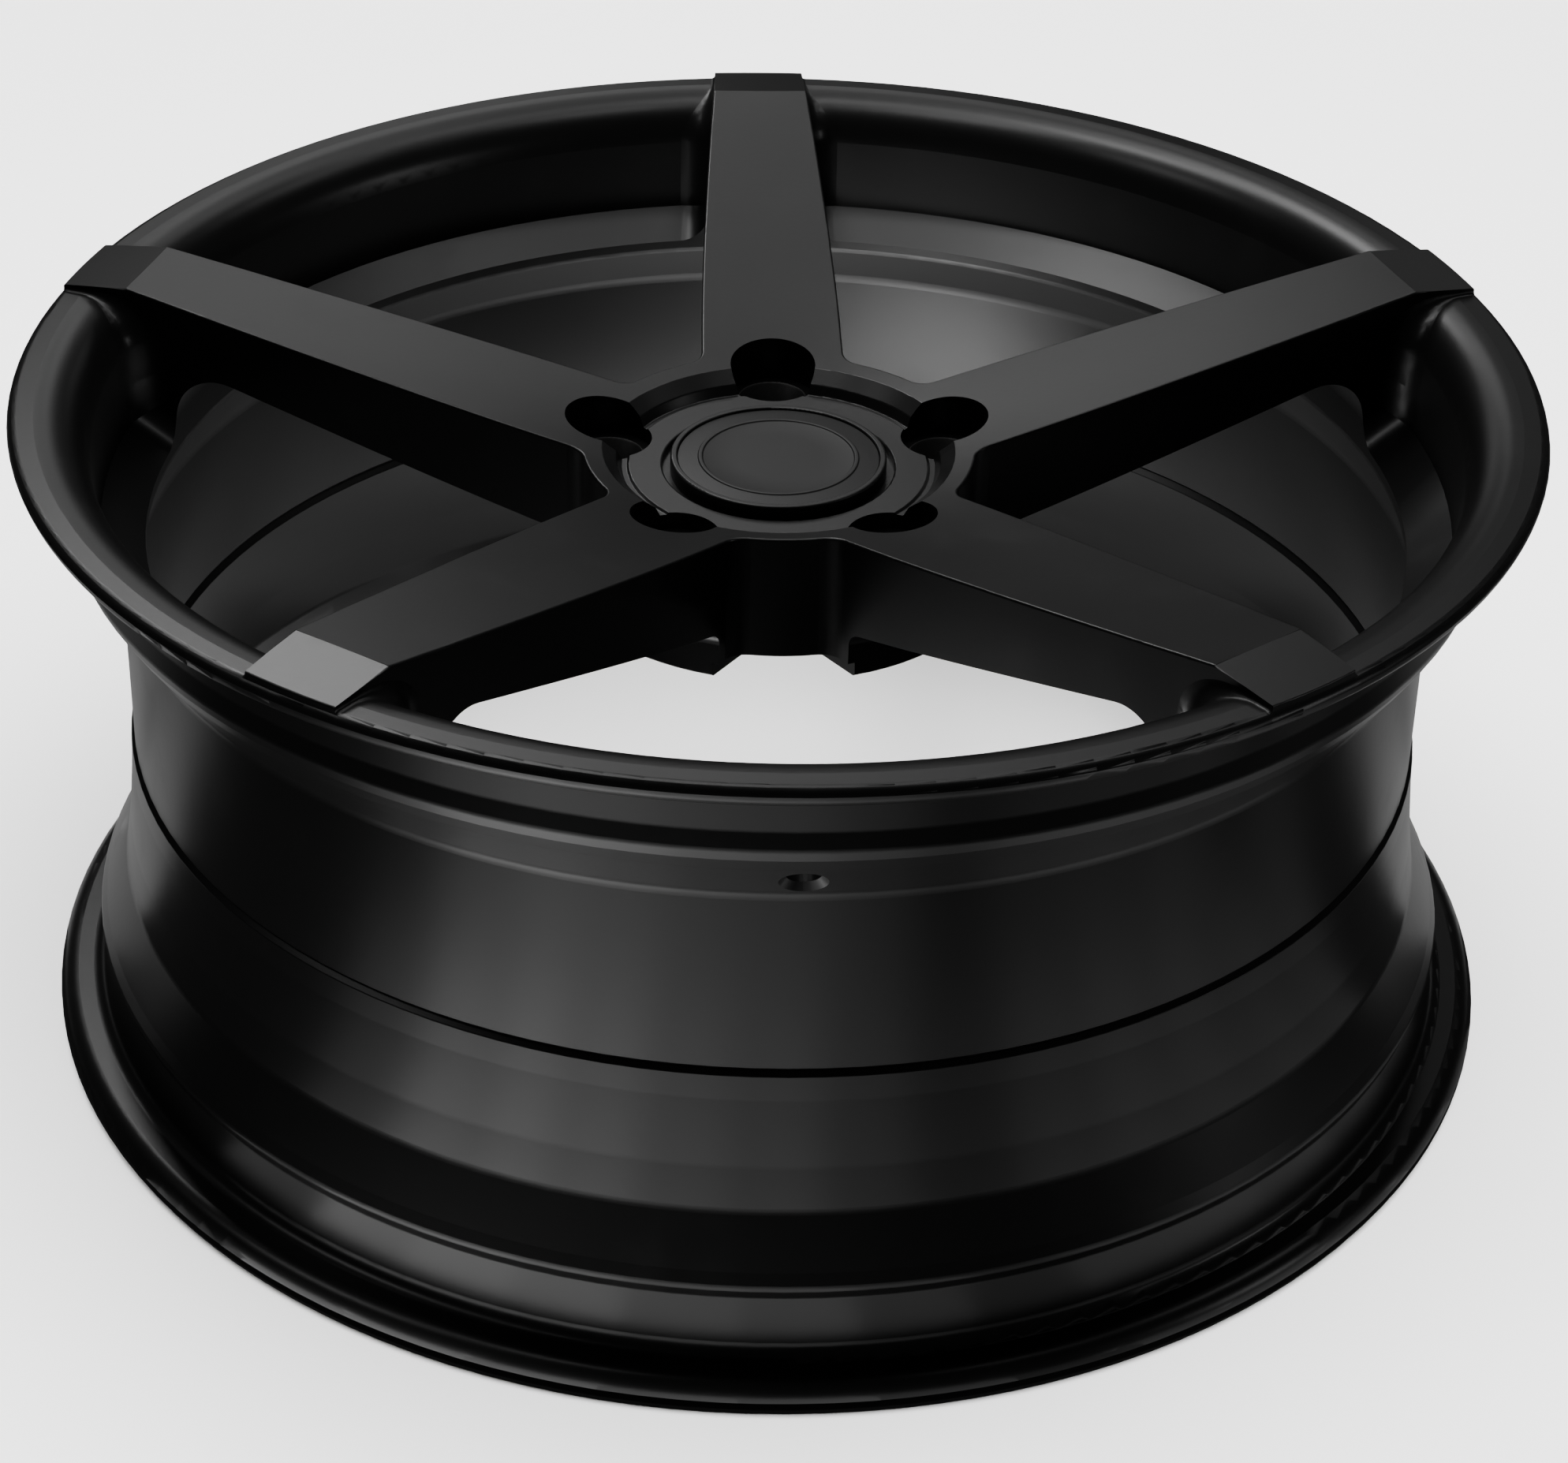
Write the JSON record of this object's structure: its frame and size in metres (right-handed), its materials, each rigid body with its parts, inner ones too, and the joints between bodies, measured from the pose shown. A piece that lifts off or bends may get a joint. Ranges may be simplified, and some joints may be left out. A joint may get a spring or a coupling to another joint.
{
  "type": "wheel rim",
  "caption": "Forged alloy car wheel with a deep concave face, flat plank spokes, drop-centre rim and pull-off centre cap; carries a tyre and bolts to a hub.",
  "frame": {"origin": "centre of the inboard flange's rest plane, on the wheel's axis", "axes": "+Z along the axis out of the wheel's face; +Y along one spoke; the valve hole lies towards -Y"},
  "size_m": [0.5474, 0.5474, 0.255],
  "materials": {
    "wheel_paint": "satin black powder coat over forged aluminium",
    "seat_steel": "dark phosphated steel",
    "cap_paint": "satin black moulded plastic",
    "cap_inlay": "satin black coat on aluminium, finely blasted",
    "spring_steel": "bright spring wire"
  },
  "bodies": {
    "wheel": {"front_forging": "wheel_paint", "rear_barrel": "wheel_paint", "lug_seats": "seat_steel"},
    "cap": {"cap_cup": "cap_paint", "cap_disc": "cap_inlay", "cap_spring": "spring_steel"}
  },
  "joints": [
    {"name": "cap_pull", "type": "slide", "parent": "wheel", "child": "cap", "axis": [0, 0, 1], "range_m": [0, 0.09]}
  ]
}
